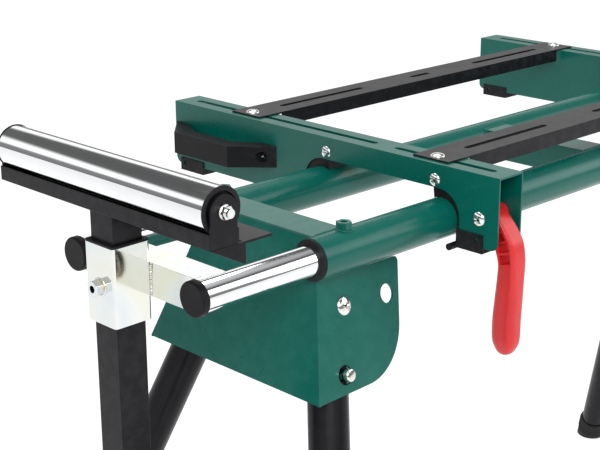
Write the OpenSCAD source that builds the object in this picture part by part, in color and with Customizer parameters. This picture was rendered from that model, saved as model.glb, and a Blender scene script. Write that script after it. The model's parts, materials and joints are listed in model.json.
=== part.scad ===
// Folding stand for a mitre saw: two long green tubes, splayed folding legs, a pull-out
// roller support at each end, and a sliding machine frame with red clamp levers.
// X runs along the long tubes, Y to the rear, Z up. The origin is on the floor.

/* [Long tubes] */
// Length of the two long tubes
tube_length = 1180; // [1120:10:1300]
// Outside diameter of the long tubes
tube_d = 52; // [50:1:53]
// Distance between the two tube axes
tube_spacing = 212; // [204:1:220]
// Height of the tube axes above the floor
tube_height = 880; // [820:10:920]

/* [Brackets and legs] */
// Sheet thickness of the folded brackets
sheet = 3; // [2.5:0.5:3]
// Outward lean of the legs along the stand, in degrees
lean_x = 16.7; // [16:0.1:18]
// Outward lean of the legs across the stand, in degrees
lean_y = 17.7; // [16:0.1:18]
// How much further out the right legs sit, so that the folded legs pass each other
right_outset = 36; // [34:1:38]
// Outside diameter of a leg
leg_d = 50; // [46:1:50]

/* [Roller supports] */
// Outside diameter of the chromed slide tubes
slide_d = 38; // [36:1:38]
// How far each support is drawn out
draw_out = 172; // [150:1:200]
// Diameter of the roller
roller_d = 50; // [46:1:52]
// Length of the roller
roller_length = 362; // [340:1:370]
// Height of the roller axis above the tube axes
roller_z = 121; // [120:1:124]

/* [Machine frame] */
// Length of each cross beam
beam_length = 611; // [600:1:620]
// Width of each cross beam
beam_w = 47; // [46:1:48]
// Distance between the two cross beams
beam_pitch = 732; // [700:1:750]
// Length of the two machine rails
rail_length = 760; // [750:1:780]
// Width of the two machine rails
rail_w = 58; // [54:1:62]
// Position of the rear rail, from the middle plane of the tubes
rear_rail_y = 267; // [240:1:290]
// Position of the front rail, from the middle plane of the tubes
front_rail_y = -80; // [-95:1:-70]

/* [Hidden] */
$fn = 64;

left = -1;
right = 1;
front = -1;
rear = 1;

tube_wall = 1.5;
tube_r = tube_d / 2;
tube_y = tube_spacing / 2;
run_gap = 0.06;            // radial clearance of a running fit
cut = 1;                   // overshoot of cutting tools

// Bracket: the fold line starts below the tube end and leans out with the legs.
nut_x = 53;                // clamp nut on a tube, from the end of the tube
fold_x = 3.3;
fold_y = 110;
fold_z = -26.5;
fold_length = 144.5;
cheek_w = 150;
cheek_top = 38.5;
cheek_corner = [70, -42.5, 80];   // centre x, centre z and radius of the rounded corner
plate_top = 18;            // underside of the flat top of the bracket
plate_inner_y = 92;        // half width of the bracket between the tubes
flange_w = 50;
lip = 18;
pivot = [47, -26.5];         // leg pivot on the cheek, across and up from the fold's top
lock_reach = 82;           // distance from the pivot to the lock button
fold_left = 102;           // swing of the left legs, in degrees
fold_right = 98;           // swing of the right legs, in degrees
bolt_r = 4;
bolt_head_r = 10;
pivot_head_r = 12;
leg_wall = 1.5;
leg_gap = 0.8;             // between the cheek and the leg
leg_inset = sheet + leg_gap + leg_d / 2;
leg_above = 28;            // leg above its pivot
button_r = 8;
lock_hole_r = 12;
right_cheek_drop = 14;     // keeps the right cheeks below the sliding clamp feet

// Direction of a front left leg, pointing down, and its pivot seen from the tube end.
leg_dir = [-sin(lean_x) * cos(lean_y), -sin(lean_y), -cos(lean_x) * cos(lean_y)];
across = [cos(lean_x), 0, -sin(lean_x)];
inward = [-sin(lean_x) * sin(lean_y), cos(lean_y), -cos(lean_x) * sin(lean_y)];
pivot_z = fold_z + pivot[0] * across[2] - pivot[1] * leg_dir[2] + leg_inset * inward[2];
pivot_y = -fold_y - pivot[1] * leg_dir[1] + leg_inset * inward[1];
leg_reach = (tube_height + pivot_z) / -leg_dir[2];    // from the pivot to the floor
foot_r = 28.5;
foot_h = 52;
foot_base = 12;            // rubber below the leg's end
foot_front = pivot_y + leg_reach * leg_dir[1] - right_outset
    - foot_r * sqrt(1 + pow(leg_dir[1] / leg_dir[2], 2));

// Roller supports, measured from the end of the long tubes, + inward.
slide_r = slide_d / 2;
slide_length = 630;
cap_r = slide_r + 1.75;
cap_len = 9.5;
bar = 40;
post_w = 40;
sleeve_w = 51.4;
sleeve_z = [-46, 46.5];
sleeve_round = 4;
sleeve_x = -draw_out - sleeve_w / 2;
collar_t = 2.5;
nut_af = 13;
clamp_nut_af = 17;
thread_r = 4.25;           // tapping size of M10
base_z = 83.5;             // underside of the roller bracket
base_w = 40;
channel_h = 17;
bracket_t = 3;
roller_x = sleeve_x - 5;
ear_y = roller_length / 2 + 5;
ear_r = 18;
post_bottom = -390;
axle_r = 5;

// Machine frame, measured from the middle of the stand.
frame_x = 28;
beam_front = -197.5;
beam_top = 69;
beam_bottom = -25;
beam_under = 38;           // underside of the beam between the tubes
beam_t = 2.5;
arch_r = 34;
arch_flare = 8;
arch = [tube_y - 3, beam_under - arch_r];
pad_gap = 0.3;
pad_top = beam_top - 15.5;
slot_w = 9;
rear_slot = [24, 388];
front_slot = [-174, -8];
saddle_screw = [96, 48];
rail_t = 2.2;
rail_gap = 0.1;
rail_h = 18.6;
rail_slots = [[-223, 175], [0, 43], [223, 175]];
lever_pivot = [-168, 12];
lever_w = 28;
handle_y = [193, 411];
handle_z = [7, 38];
handle_depth = 63;
handle_wall = 24;

// The stand's width runs from the right front foot to the right rear foot or the beams.
stand_y = -(foot_front + max(beam_front + beam_length, -foot_front)) / 2;

green = [0, 0.31, 0.26];
black = [0.13, 0.13, 0.14];
zinc = [0.8, 0.82, 0.8];
chrome = [0.88, 0.9, 0.92];
red = [0.82, 0.14, 0.12];
rubber = [0.08, 0.08, 0.08];

function arc(cx, cy, r, from, to, n = 16) =
    [for (i = [0:n]) let (a = from + (to - from) * i / n) [cx + r * cos(a), cy + r * sin(a)]];

module on_stand() translate([0, stand_y, tube_height]) children();

// Children are drawn for the left end, with x measured inward from the tube's end.
module at_end(side) {
  on_stand() {
    if (side == left) translate([-tube_length / 2, 0, 0]) children();
    else mirror([1, 0, 0]) translate([-tube_length / 2, 0, 0]) children();
  }
}

// Children are drawn for the front; the rear is their mirror image.
module at_row(row) {
  if (row == front) children();
  else mirror([0, 1, 0]) children();
}

// The frame of a cheek: x across it, -z down along the fold, +y towards the inside.
module at_cheek(side) {
  outset = side == right ? right_outset : 0;
  translate([fold_x, -fold_y - outset, fold_z]) rotate([-lean_y, lean_x, 0]) children();
}

module at_leg(side, row) at_end(side) at_row(row) at_cheek(side) children();

module along_y(length, r, centre = true)
  rotate([-90, 0, 0]) cylinder(h = length, r = r, center = centre);

module along_x(length, r, centre = false)
  rotate([0, 90, 0]) cylinder(h = length, r = r, center = centre);

module ring_x(length, r_out, r_in) difference() {
  along_x(length, r_out);
  translate([-cut, 0, 0]) along_x(length + 2 * cut, r_in);
}

module box_tube(size, length, wall) difference() {
  translate([-size / 2, -size / 2, 0]) cube([size, size, length]);
  translate([wall - size / 2, wall - size / 2, -cut])
    cube([size - 2 * wall, size - 2 * wall, length + 2 * cut]);
}

module slot_z(length, width, height) {
  translate([-length / 2 + width / 2, -width / 2, 0]) cube([length - width, width, height]);
  for (end = [-1, 1]) translate([end * (length - width) / 2, 0, 0]) cylinder(h = height, d = width);
}

module hex_nut(af, height, hole_r) difference() {
  cylinder(h = height, d = af / cos(30), $fn = 6);
  translate([0, 0, -cut]) cylinder(h = height + 2 * cut, r = hole_r);
}

// ---- Long tubes and what is welded to them ----

module long_tube(row) color(green) on_stand()
  difference() {
    translate([-tube_length / 2, row * tube_y, 0]) ring_x(tube_length, tube_r, tube_r - tube_wall);
    for (side = [left, right])
      translate([side * (tube_length / 2 - nut_x), row * tube_y, 0]) cylinder(h = tube_r + cut, r = thread_r);
  }

module front_tube() long_tube(front);
module rear_tube() long_tube(rear);

module cheek_outline(drop) {
  polygon(concat(
    [[0, -drop]],
    arc(cheek_w - 6, cheek_top - 7.4 - drop, 6, 104, 0, 6),
    arc(cheek_corner[0], cheek_corner[1], cheek_corner[2], 0, -74, 24),
    [[0, -fold_length]]));
}

module cheek(side) {
  drop = side == right ? right_cheek_drop : 0;
  swing = side == right ? fold_right : fold_left;
  difference() {
    translate([0, sheet, 0]) rotate([90, 0, 0]) linear_extrude(sheet) cheek_outline(drop);
    translate([pivot[0], 0, pivot[1]]) along_y(4 * sheet, bolt_r);
    for (turn = [0, swing])
      translate([pivot[0] + lock_reach * sin(turn), 0, pivot[1] - lock_reach * cos(turn)])
        along_y(4 * sheet, lock_hole_r);
  }
}

// One folded sheet: a flat top between the tubes, a leaning plate, and two cheeks.
module bracket(side) {
  outset = side == right ? right_outset : 0;
  down = fold_length * cos(lean_y);
  spread = fold_length * sin(lean_y);
  half = fold_y + outset;
  rise = (plate_top - fold_z) / cos(lean_x);
  color(green) at_end(side) {
    translate([fold_x, 0, fold_z]) rotate([0, lean_x, 0]) rotate([90, 0, 90]) linear_extrude(sheet)
      polygon([[-half, 0], [half, 0], [half + spread, -down], [-half - spread, -down]]);
    difference() {
      union() {
        translate([fold_x, 0, fold_z]) rotate([0, lean_x, 0]) rotate([90, 0, 90]) linear_extrude(sheet)
          translate([-plate_inner_y, -1]) square([2 * plate_inner_y, rise + sheet]);
        translate([fold_x + rise * sin(lean_x), -plate_inner_y, plate_top])
          cube([flange_w, 2 * plate_inner_y, sheet]);
        translate([fold_x + rise * sin(lean_x) + flange_w - sheet, -plate_inner_y, plate_top - lip])
          cube([sheet, 2 * plate_inner_y, lip + 1]);
      }
      for (row = [front, rear]) translate([-cheek_w, row * tube_y, 0]) along_x(3 * cheek_w, tube_r);
    }
    for (row = [front, rear]) at_row(row) at_cheek(side) translate([0, 0.01, 0]) cheek(side);
  }
}

module left_bracket() bracket(left);
module right_bracket() bracket(right);

// Inverted channel across the middle, cut to the round of the tubes.
module middle_member() color(green) on_stand() difference() {
  translate([-flange_w / 2, -tube_y, -20]) cube([flange_w, 2 * tube_y, 41]);
  translate([-flange_w / 2 + sheet, -tube_y - cut, -20 - cut])
    cube([flange_w - 2 * sheet, 2 * tube_y + 2 * cut, 41 + cut - sheet]);
  for (row = [front, rear]) translate([-flange_w, row * tube_y, 0]) along_x(2 * flange_w, tube_r);
}

module tube_bushes() color(black)
  for (side = [left, right]) at_end(side) for (row = [front, rear]) translate([0, row * tube_y, 0]) {
    ring_x(40, tube_r - tube_wall, slide_r + run_gap);
    translate([-3, 0, 0]) ring_x(3, tube_r - 0.6, slide_r + run_gap);
  }

module tube_nuts() color(green)
  for (side = [left, right]) at_end(side) for (row = [front, rear])
    translate([nut_x, row * tube_y, 0]) difference() {
      translate([0, 0, tube_r - 2]) hex_nut(clamp_nut_af, 11, thread_r);
      translate([-clamp_nut_af, 0, 0]) along_x(2 * clamp_nut_af, tube_r);
    }

// Round-headed bolt through the cheek and the leg, with a washer and a lock nut inside.
module leg_pivot_bolts() color(zinc)
  for (side = [left, right], row = [front, rear]) at_leg(side, row) translate([pivot[0], 0, pivot[1]]) {
    grip = leg_inset + leg_d / 2 + 0.8;
    rotate([-90, 0, 0]) {
      cylinder(h = grip + 10, r = bolt_r);
      translate([0, 0, grip]) cylinder(h = 1.5, r = 9);
      translate([0, 0, grip + 1.5]) cylinder(h = 7, d = nut_af / cos(30), $fn = 6);
    }
    intersection() {
      translate([0, 15.5, 0]) sphere(r = 20);
      rotate([90, 0, 0]) cylinder(h = 6, r = pivot_head_r);
    }
  }

// ---- Legs ----

module leg(side, row) color(black) at_leg(side, row)
  translate([pivot[0], leg_inset, pivot[1]]) difference() {
    translate([0, 0, -leg_reach + foot_base]) cylinder(h = leg_reach - foot_base + leg_above, d = leg_d);
    translate([0, 0, -leg_reach]) cylinder(h = leg_reach + leg_above + cut, d = leg_d - 2 * leg_wall);
    along_y(2 * leg_d, bolt_r + run_gap);
    translate([0, -leg_d, -lock_reach]) along_y(leg_d, button_r + 0.5, false);
  }

module left_front_leg() leg(left, front);
module left_rear_leg() leg(left, rear);
module right_front_leg() leg(right, front);
module right_rear_leg() leg(right, rear);

// Rubber boot on the leg's end, cut flat where it stands on the floor.
module foot(side, row) color(rubber) intersection() {
  at_leg(side, row) translate([pivot[0], leg_inset, pivot[1] - leg_reach]) difference() {
    translate([0, 0, -20]) cylinder(h = foot_h + 20, r = foot_r);
    translate([0, 0, foot_base]) cylinder(h = foot_h, d = leg_d);
  }
  translate([-2 * tube_length, -tube_length, 0]) cube([4 * tube_length, 2 * tube_length, tube_height]);
}

module left_front_foot() foot(left, front);
module left_rear_foot() foot(left, rear);
module right_front_foot() foot(right, front);
module right_rear_foot() foot(right, rear);

// Snap button: a round-ended stud that stands out of the lock hole.
module lock_button(side, row) color(zinc)
  at_leg(side, row) translate([pivot[0], sheet - 0.2, pivot[1] - lock_reach]) rotate([90, 0, 0])
    rotate_extrude() polygon(concat([[0, 0], [button_r, 0], [button_r, 10]],
      arc(button_r - 2.5, 10.5, 2.5, 0, 90, 6), [[0, 13.6]]));

module left_front_button() lock_button(left, front);
module left_rear_button() lock_button(left, rear);
module right_front_button() lock_button(right, front);
module right_rear_button() lock_button(right, rear);

// ---- Roller supports ----

module slide_tubes(side) color(chrome) at_end(side)
  for (row = [front, rear]) translate([2 - draw_out - 9, row * tube_y, 0])
    ring_x(slide_length, slide_r, slide_r - 1.5);

// Black end caps outside, and guide rings on the inner ends.
module tube_plugs(side) color(black) at_end(side)
  for (row = [front, rear]) translate([-draw_out - 10, row * tube_y, 0]) {
    rotate([0, 90, 0]) rotate_extrude() polygon(concat(
      [[0, 3], [0, 0.6], [cap_r - 7, 0.2], [cap_r - 2.5, 0]],
      arc(cap_r - 2.5, 2.5, 2.5, -90, 0, 6),
      [[cap_r, cap_len], [slide_r, cap_len], [slide_r, 3]]));
    translate([3 + slide_length - 30, 0, 0]) ring_x(28, tube_r - tube_wall - run_gap, slide_r);
  }

module crossbar(side) color(zinc) at_end(side) translate([bar / 2 - draw_out, 0, 0]) difference() {
  rotate([-90, 0, 0]) translate([0, 0, -tube_y]) box_tube(bar, 2 * tube_y, 2);
  for (row = [front, rear]) translate([-bar, row * tube_y, 0]) along_x(2 * bar, slide_r);
}

module rounded_square(size, r) polygon(concat(
  arc(size / 2 - r, size / 2 - r, r, 0, 90, 6), arc(r - size / 2, size / 2 - r, r, 90, 180, 6),
  arc(r - size / 2, r - size / 2, r, 180, 270, 6), arc(size / 2 - r, r - size / 2, r, 270, 360, 6)));

module sleeve(side) color(zinc) at_end(side) difference() {
  translate([sleeve_x, 0, sleeve_z[0]]) linear_extrude(sleeve_z[1] - sleeve_z[0]) difference() {
    rounded_square(sleeve_w, sleeve_round);
    square(sleeve_w - 6, center = true);
  }
  translate([sleeve_x - sleeve_w, 0, -2]) along_x(sleeve_w, thread_r);
}

module sleeve_nut(side) color(zinc) at_end(side)
  translate([sleeve_x - sleeve_w / 2, 0, -2]) rotate([0, -90, 0]) hex_nut(clamp_nut_af, 11, thread_r);

// Plastic guide in the top of the sleeve.
module collar(side) color(black) at_end(side) translate([sleeve_x, 0, sleeve_z[1]]) {
  wall = (sleeve_w - post_w) / 2 - 0.1;
  linear_extrude(collar_t) difference() {
    rounded_square(sleeve_w, sleeve_round);
    square(sleeve_w - 2 * wall, center = true);
  }
  translate([0, 0, -30]) box_tube(sleeve_w - 6, 30, wall - 3);
}

module post(side) color(black) at_end(side) translate([sleeve_x, 0, post_bottom])
  box_tube(post_w, base_z - post_bottom, 2);

// Channel with two round-topped ears that carry the axle.
module roller_bracket(side) color(black) at_end(side) translate([roller_x, 0, 0]) {
  translate([-base_w / 2, -ear_y, base_z]) cube([base_w, 2 * ear_y, bracket_t]);
  for (edge = [-1, 1]) translate([edge * (base_w - 2) / 2 - 1, -ear_y, base_z + bracket_t])
    cube([2, 2 * ear_y, channel_h - bracket_t]);
  for (row = [front, rear]) at_row(row) difference() {
    translate([0, -ear_y, 0]) union() {
      translate([-ear_r, 0, base_z]) cube([2 * ear_r, bracket_t, roller_z - base_z]);
      translate([0, bracket_t / 2, roller_z]) along_y(bracket_t, ear_r);
    }
    translate([0, -ear_y, roller_z]) along_y(4 * bracket_t, axle_r);
  }
}

// Stop plate under the channel, with a folded end.
module stop_plate(side) color(black) at_end(side) translate([roller_x, 0, base_z]) {
  length = 2 * ear_y - 40;
  translate([post_w / 2 + 6, -ear_y, -bracket_t]) cube([40, length, bracket_t]);
  translate([post_w / 2 + 6, -ear_y, -24]) cube([bracket_t, length, 24 - bracket_t]);
  translate([-base_w / 2, -ear_y, 0]) rotate([90, 0, 0]) translate([0, 0, -bracket_t])
    linear_extrude(bracket_t) polygon([[0, 0], [base_w + 6, 0], [base_w + 6, -24]]);
}

module axle(side) color(zinc) at_end(side) translate([roller_x, 0, roller_z]) {
  along_y(2 * ear_y + 22, axle_r);
  for (row = [front, rear]) at_row(row) {
    translate([0, -ear_y - 1, 0]) along_y(2, 8);
    translate([0, -ear_y - 2, 0]) rotate([90, 0, 0]) cylinder(h = 5, d = nut_af / cos(30), $fn = 6);
  }
}

module roller(side) color(chrome) at_end(side) translate([roller_x, 0, roller_z]) difference() {
  along_y(roller_length, roller_d / 2);
  along_y(roller_length + 2 * cut, roller_d / 2 - 1.5);
}

// Dished plastic bearings pressed into the roller's ends.
module roller_ends(side) color(black) at_end(side) translate([roller_x, 0, roller_z])
  for (row = [front, rear]) at_row(row) translate([0, -roller_length / 2, 0]) rotate([-90, 0, 0]) {
    inner = axle_r + run_gap;
    outer = roller_d / 2 - 1.5;
    rim = roller_d / 2 + 1;
    rotate_extrude() polygon([[inner, -1.2], [inner + 4, -1.2], [inner + 4, 4], [outer - 3, 4],
      [outer - 3, -1.2], [rim - 0.5, -1.2], [rim, -0.7], [rim, 0], [outer, 0], [outer, 18], [inner, 18]]);
  }

module left_slide_tubes() slide_tubes(left);
module left_tube_plugs() tube_plugs(left);
module left_crossbar() crossbar(left);
module left_sleeve() sleeve(left);
module left_sleeve_nut() sleeve_nut(left);
module left_collar() collar(left);
module left_post() post(left);
module left_roller_bracket() roller_bracket(left);
module left_stop_plate() stop_plate(left);
module left_axle() axle(left);
module left_roller() roller(left);
module left_roller_ends() roller_ends(left);
module right_slide_tubes() slide_tubes(right);
module right_tube_plugs() tube_plugs(right);
module right_crossbar() crossbar(right);
module right_sleeve() sleeve(right);
module right_sleeve_nut() sleeve_nut(right);
module right_collar() collar(right);
module right_post() post(right);
module right_roller_bracket() roller_bracket(right);
module right_stop_plate() stop_plate(right);
module right_axle() axle(right);
module right_roller() roller(right);
module right_roller_ends() roller_ends(right);

// ---- Machine frame ----

module at_beam(side) on_stand() translate([frame_x + side * beam_pitch / 2, 0, 0]) children();

module beam_outline() {
  rear_end = beam_front + beam_length;
  corner = 10;
  polygon(concat(
    [[beam_front, beam_top]],
    arc(beam_front + corner, beam_bottom + corner, corner, 180, 270, 6),
    arc(-arch[0] - arch_r - arch_flare, beam_bottom + arch_flare, arch_flare, -90, 0, 6),
    arc(-arch[0], arch[1], arch_r, 180, 90),
    arc(arch[0], arch[1], arch_r, 90, 0),
    arc(arch[0] + arch_r + arch_flare, beam_bottom + arch_flare, arch_flare, 180, 270, 6),
    arc(rear_end - corner, beam_bottom + corner, corner, 270, 360, 6),
    [[rear_end, beam_top]]));
}

module across_beam(width) translate([-width / 2, 0, 0]) rotate([90, 0, 90]) linear_extrude(width) children();

// Inverted channel with an arch over each tube and two slots in its top.
module beam(side) color(green) at_beam(side) difference() {
  across_beam(beam_w) beam_outline();
  translate([beam_t - beam_w / 2, beam_front - cut, beam_bottom - cut])
    cube([beam_w - 2 * beam_t, beam_length + 2 * cut, beam_top - beam_bottom - beam_t + cut]);
  for (slot = [rear_slot, front_slot])
    translate([0, (slot[0] + slot[1]) / 2, beam_top - 2 * beam_t]) rotate([0, 0, 90])
      slot_z(slot[1] - slot[0], slot_w, 3 * beam_t);
  for (row = [front, rear])
    translate([0, row * saddle_screw[0], saddle_screw[1]]) along_x(beam_w + 2 * cut, 3, true);
  translate([0, lever_pivot[0], lever_pivot[1]]) along_x(beam_w + 2 * cut, bolt_r, true);
}

module left_beam() beam(left);
module right_beam() beam(right);

// Plastic saddles inside the beams, which slide on the tubes.
module saddle_pads() color(black)
  for (side = [left, right]) at_beam(side) for (row = [front, rear]) at_row(row) difference() {
    across_beam(beam_w - 2 * beam_t) {
      polygon(concat(
        [[-tube_y + 14, beam_under], [-tube_y + 26, beam_under]],
        [[-tube_y + 26, pad_top], [-tube_y - 12, pad_top]],
        arc(-tube_y, 0, tube_r + 9, 125, 190),
        arc(-tube_y, 0, tube_r + pad_gap, 190, 62, 24)));
    }
    translate([0, -saddle_screw[0], saddle_screw[1]]) along_x(beam_w, 3, true);
  }

// Clamp feet that clip over the lower edges of the beams, outside the tubes.
module clamp_foot(from, to, low, high) difference() {
  width = beam_w + 4;
  translate([-width / 2, from, low]) cube([width, to - from, high - low]);
  for (edge = [-1, 1])
    translate([edge * (beam_w - beam_t) / 2 - beam_t / 2 - 0.05, from - cut, beam_bottom])
      cube([beam_t + 0.1, to - from + 2 * cut, high - low]);
  translate([-(beam_w - 12) / 2, from + 4, beam_bottom + 3]) cube([beam_w - 12, to - from + cut, high - low]);
  translate([0, to - 10, high - 7]) along_x(2 * width, 2.5, true);
}

module clamp_feet() color(black)
  for (side = [left, right]) at_beam(side) {
    mirror([0, 1, 0]) clamp_foot(134, 176, -32, -8);
    clamp_foot(351, 402, -35, -16);
    translate([-beam_w / 2 - 6, -126, -33]) along_x(beam_w, 4.5);
  }

module saddle_screws() color(zinc)
  for (side = [left, right]) at_beam(side) for (row = [front, rear])
    translate([-beam_w / 2, row * saddle_screw[0], saddle_screw[1]]) {
      along_x(beam_w + 6, 3);
      intersection() {
        translate([11, 0, 0]) sphere(r = 15);
        translate([-5, 0, 0]) along_x(5, 8.5);
      }
      translate([beam_w, 0, 0]) rotate([0, 90, 0]) cylinder(h = 5, d = 11.5, $fn = 6);
    }

module lever_bolts() color(zinc)
  for (side = [left, right]) at_beam(side) translate([-beam_w / 2, lever_pivot[0], lever_pivot[1]]) {
    along_x(beam_w + 8, bolt_r);
    intersection() {
      translate([12, 0, 0]) sphere(r = 17);
      translate([-6, 0, 0]) along_x(6, bolt_head_r - 0.5);
    }
    translate([beam_w, 0, 0]) rotate([0, 90, 0]) cylinder(h = 6.5, d = nut_af / cos(30), $fn = 6);
  }

module handle_plan(depth, y0, y1, slope) polygon([
  [0, y0], [-depth, y0 + slope], [-depth, y1 - slope], [0, y1]]);

// Bow handle on the outer face of the left beam.
module handle() color(black) at_beam(left) translate([-beam_w / 2, 0, handle_z[0]]) difference() {
  height = handle_z[1] - handle_z[0];
  linear_extrude(height) difference() {
    handle_plan(handle_depth, handle_y[0], handle_y[1], 43);
    translate([cut, 0]) handle_plan(handle_depth + cut - handle_wall, handle_y[0] + 30, handle_y[1] - 30, 30);
  }
  for (y = [handle_y[0] + 15, handle_y[1] - 15]) translate([0, y, height / 2]) {
    along_x(4 * handle_wall, 3, true);
    translate([-handle_depth - 9, 0, 0]) along_x(handle_depth, 7.5);
  }
}

module handle_screws() color(zinc) at_beam(left)
  for (y = [handle_y[0] + 15, handle_y[1] - 15])
    translate([-beam_w / 2, y, (handle_z[0] + handle_z[1]) / 2]) {
      translate([-14, 0, 0]) along_x(14, 3);
      translate([-14, 0, 0]) along_x(5, 6);
    }

// ---- Machine rails ----

// Channel that lies on the beams; its side lips stop short of them.
module rail(y) color(black) on_stand() translate([frame_x, y, beam_top + rail_gap]) difference() {
  span = beam_pitch - beam_w - 16;
  union() {
    translate([-rail_length / 2, -rail_w / 2, 0]) cube([rail_length, rail_w, rail_t]);
    for (edge = [-1, 1]) translate([-span / 2, edge * (rail_w - rail_t) / 2 - rail_t / 2, -rail_h])
      cube([span, rail_t, rail_h + cut]);
  }
  for (slot = rail_slots) translate([slot[0], 0, -cut]) slot_z(slot[1], slot_w, rail_t + 3 * cut);
  for (side = [left, right]) translate([side * beam_pitch / 2, 0, -cut]) cylinder(h = 10, r = bolt_r);
}

// Carriage bolts with a washer and nut under the top of each beam.
module rail_bolts(y) color(zinc) on_stand() for (side = [left, right])
  translate([frame_x + side * beam_pitch / 2, y, beam_top]) {
    low = -beam_t - rail_gap;
    translate([0, 0, low - 11]) cylinder(h = rail_gap + rail_t + 11 - low, r = bolt_r);
    translate([0, 0, low - 2]) cylinder(h = 2, r = 10);
    translate([0, 0, low - 9]) cylinder(h = 7, d = nut_af / cos(30), $fn = 6);
    intersection() {
      translate([0, 0, rail_gap + rail_t - 9]) sphere(r = 13.5);
      translate([0, 0, rail_gap + rail_t]) cylinder(h = 6, r = bolt_head_r);
    }
  }

module rear_rail() rail(rear_rail_y);
module front_rail() rail(front_rail_y);
module rear_rail_bolts() rail_bolts(rear_rail_y);
module front_rail_bolts() rail_bolts(front_rail_y);

// ---- Clamp levers ----

// Side view of a lever: an offset neck that widens to a rounded grip.
module lever_outline() {
  polygon(concat(
    [[lever_pivot[0] + 10, lever_pivot[1] - 9], [lever_pivot[0] + 11, lever_pivot[1] + 8]],
    [[-172, 26], [-186, 17], [-200, 1], [-211, -15], [-216, -37], [-217, -77], [-216, -117]],
    arc(-199, -149, 17, 190, 345, 12),
    [[-182, -117], [-186, -77], [-190, -47], [-183, -22]]));
}

module lever(side) color(red) at_beam(side) difference() {
  union() {
    across_beam(lever_w) lever_outline();
    translate([0, lever_pivot[0], lever_pivot[1]]) along_x(beam_w - 2 * beam_t - 1, 13, true);
  }
  translate([0, lever_pivot[0], lever_pivot[1]]) along_x(beam_w, bolt_r + run_gap, true);
  for (face = [-1, 1]) translate([face * lever_w / 2, 0, 0])
    across_beam(14) polygon([[-189, 6], [-203, -18], [-209, -40], [-196, -44], [-191, -27], [-183, -7]]);
}

module left_lever() lever(left);
module right_lever() lever(right);

front_tube();
rear_tube();
left_bracket();
right_bracket();
middle_member();
tube_bushes();
tube_nuts();
leg_pivot_bolts();
left_front_leg();
left_rear_leg();
right_front_leg();
right_rear_leg();
left_front_foot();
left_rear_foot();
right_front_foot();
right_rear_foot();
left_front_button();
left_rear_button();
right_front_button();
right_rear_button();
left_slide_tubes();
left_tube_plugs();
left_crossbar();
left_sleeve();
left_sleeve_nut();
left_collar();
left_post();
left_roller_bracket();
left_stop_plate();
left_axle();
left_roller();
left_roller_ends();
right_slide_tubes();
right_tube_plugs();
right_crossbar();
right_sleeve();
right_sleeve_nut();
right_collar();
right_post();
right_roller_bracket();
right_stop_plate();
right_axle();
right_roller();
right_roller_ends();
left_beam();
right_beam();
saddle_pads();
clamp_feet();
handle();
handle_screws();
saddle_screws();
lever_bolts();
rear_rail();
front_rail();
rear_rail_bolts();
front_rail_bolts();
left_lever();
right_lever();
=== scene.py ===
import json
from math import acos, cos, pi, radians, sin, sqrt, tan
import bmesh
import bpy
from mathutils import Matrix, Vector


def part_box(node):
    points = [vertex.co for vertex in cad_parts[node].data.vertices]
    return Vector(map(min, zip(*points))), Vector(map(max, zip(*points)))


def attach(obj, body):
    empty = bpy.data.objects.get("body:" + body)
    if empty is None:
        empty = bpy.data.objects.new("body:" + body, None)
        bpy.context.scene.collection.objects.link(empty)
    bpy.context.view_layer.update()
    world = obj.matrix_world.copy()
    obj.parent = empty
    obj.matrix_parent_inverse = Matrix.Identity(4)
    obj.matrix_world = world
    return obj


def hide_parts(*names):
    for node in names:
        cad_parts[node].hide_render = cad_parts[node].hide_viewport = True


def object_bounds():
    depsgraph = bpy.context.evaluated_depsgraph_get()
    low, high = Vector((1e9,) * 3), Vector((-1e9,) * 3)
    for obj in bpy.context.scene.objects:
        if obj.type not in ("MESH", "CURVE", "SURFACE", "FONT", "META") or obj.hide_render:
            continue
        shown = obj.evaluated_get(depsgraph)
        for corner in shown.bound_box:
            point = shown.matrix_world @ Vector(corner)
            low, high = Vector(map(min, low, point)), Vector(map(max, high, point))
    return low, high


# Folding stand for a mitre saw: finishes, fasteners, weld beads, moulded parts, light and camera.

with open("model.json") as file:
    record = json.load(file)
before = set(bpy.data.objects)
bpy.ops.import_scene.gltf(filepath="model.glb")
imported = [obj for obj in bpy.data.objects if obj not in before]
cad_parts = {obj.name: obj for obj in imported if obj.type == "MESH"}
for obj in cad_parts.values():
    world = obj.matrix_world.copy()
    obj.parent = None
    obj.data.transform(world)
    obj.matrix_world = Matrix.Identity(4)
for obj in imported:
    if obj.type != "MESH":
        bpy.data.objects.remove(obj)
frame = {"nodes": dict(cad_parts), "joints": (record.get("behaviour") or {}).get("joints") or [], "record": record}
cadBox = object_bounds()
bodyOf = {node: body for body, nodes in frame["record"]["behaviour"]["bodies"].items() for node in nodes}
mm = 0.001
print("frame loaded:", len(frame["nodes"]), "nodes")


# Shader node groups

def addNode(tree, kind, inputs=None, **settings):
    node = tree.nodes.new(kind)
    for name, value in settings.items():
        setattr(node, name, value)
    for key, value in (inputs or {}).items():
        if isinstance(value, bpy.types.NodeSocket):
            tree.links.new(value, node.inputs[key])
        else:
            node.inputs[key].default_value = value
    return node


def newGroup(name, inputs, outputs, kind="ShaderNodeTree"):
    tree = bpy.data.node_groups.new(name, kind)
    for label, socketType, value in inputs:
        socket = tree.interface.new_socket(name=label, in_out="INPUT", socket_type=socketType)
        if value is not None:
            socket.default_value = value
    for label, socketType in outputs:
        tree.interface.new_socket(name=label, in_out="OUTPUT", socket_type=socketType)
    return tree, tree.nodes.new("NodeGroupInput").outputs, tree.nodes.new("NodeGroupOutput").inputs


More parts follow.
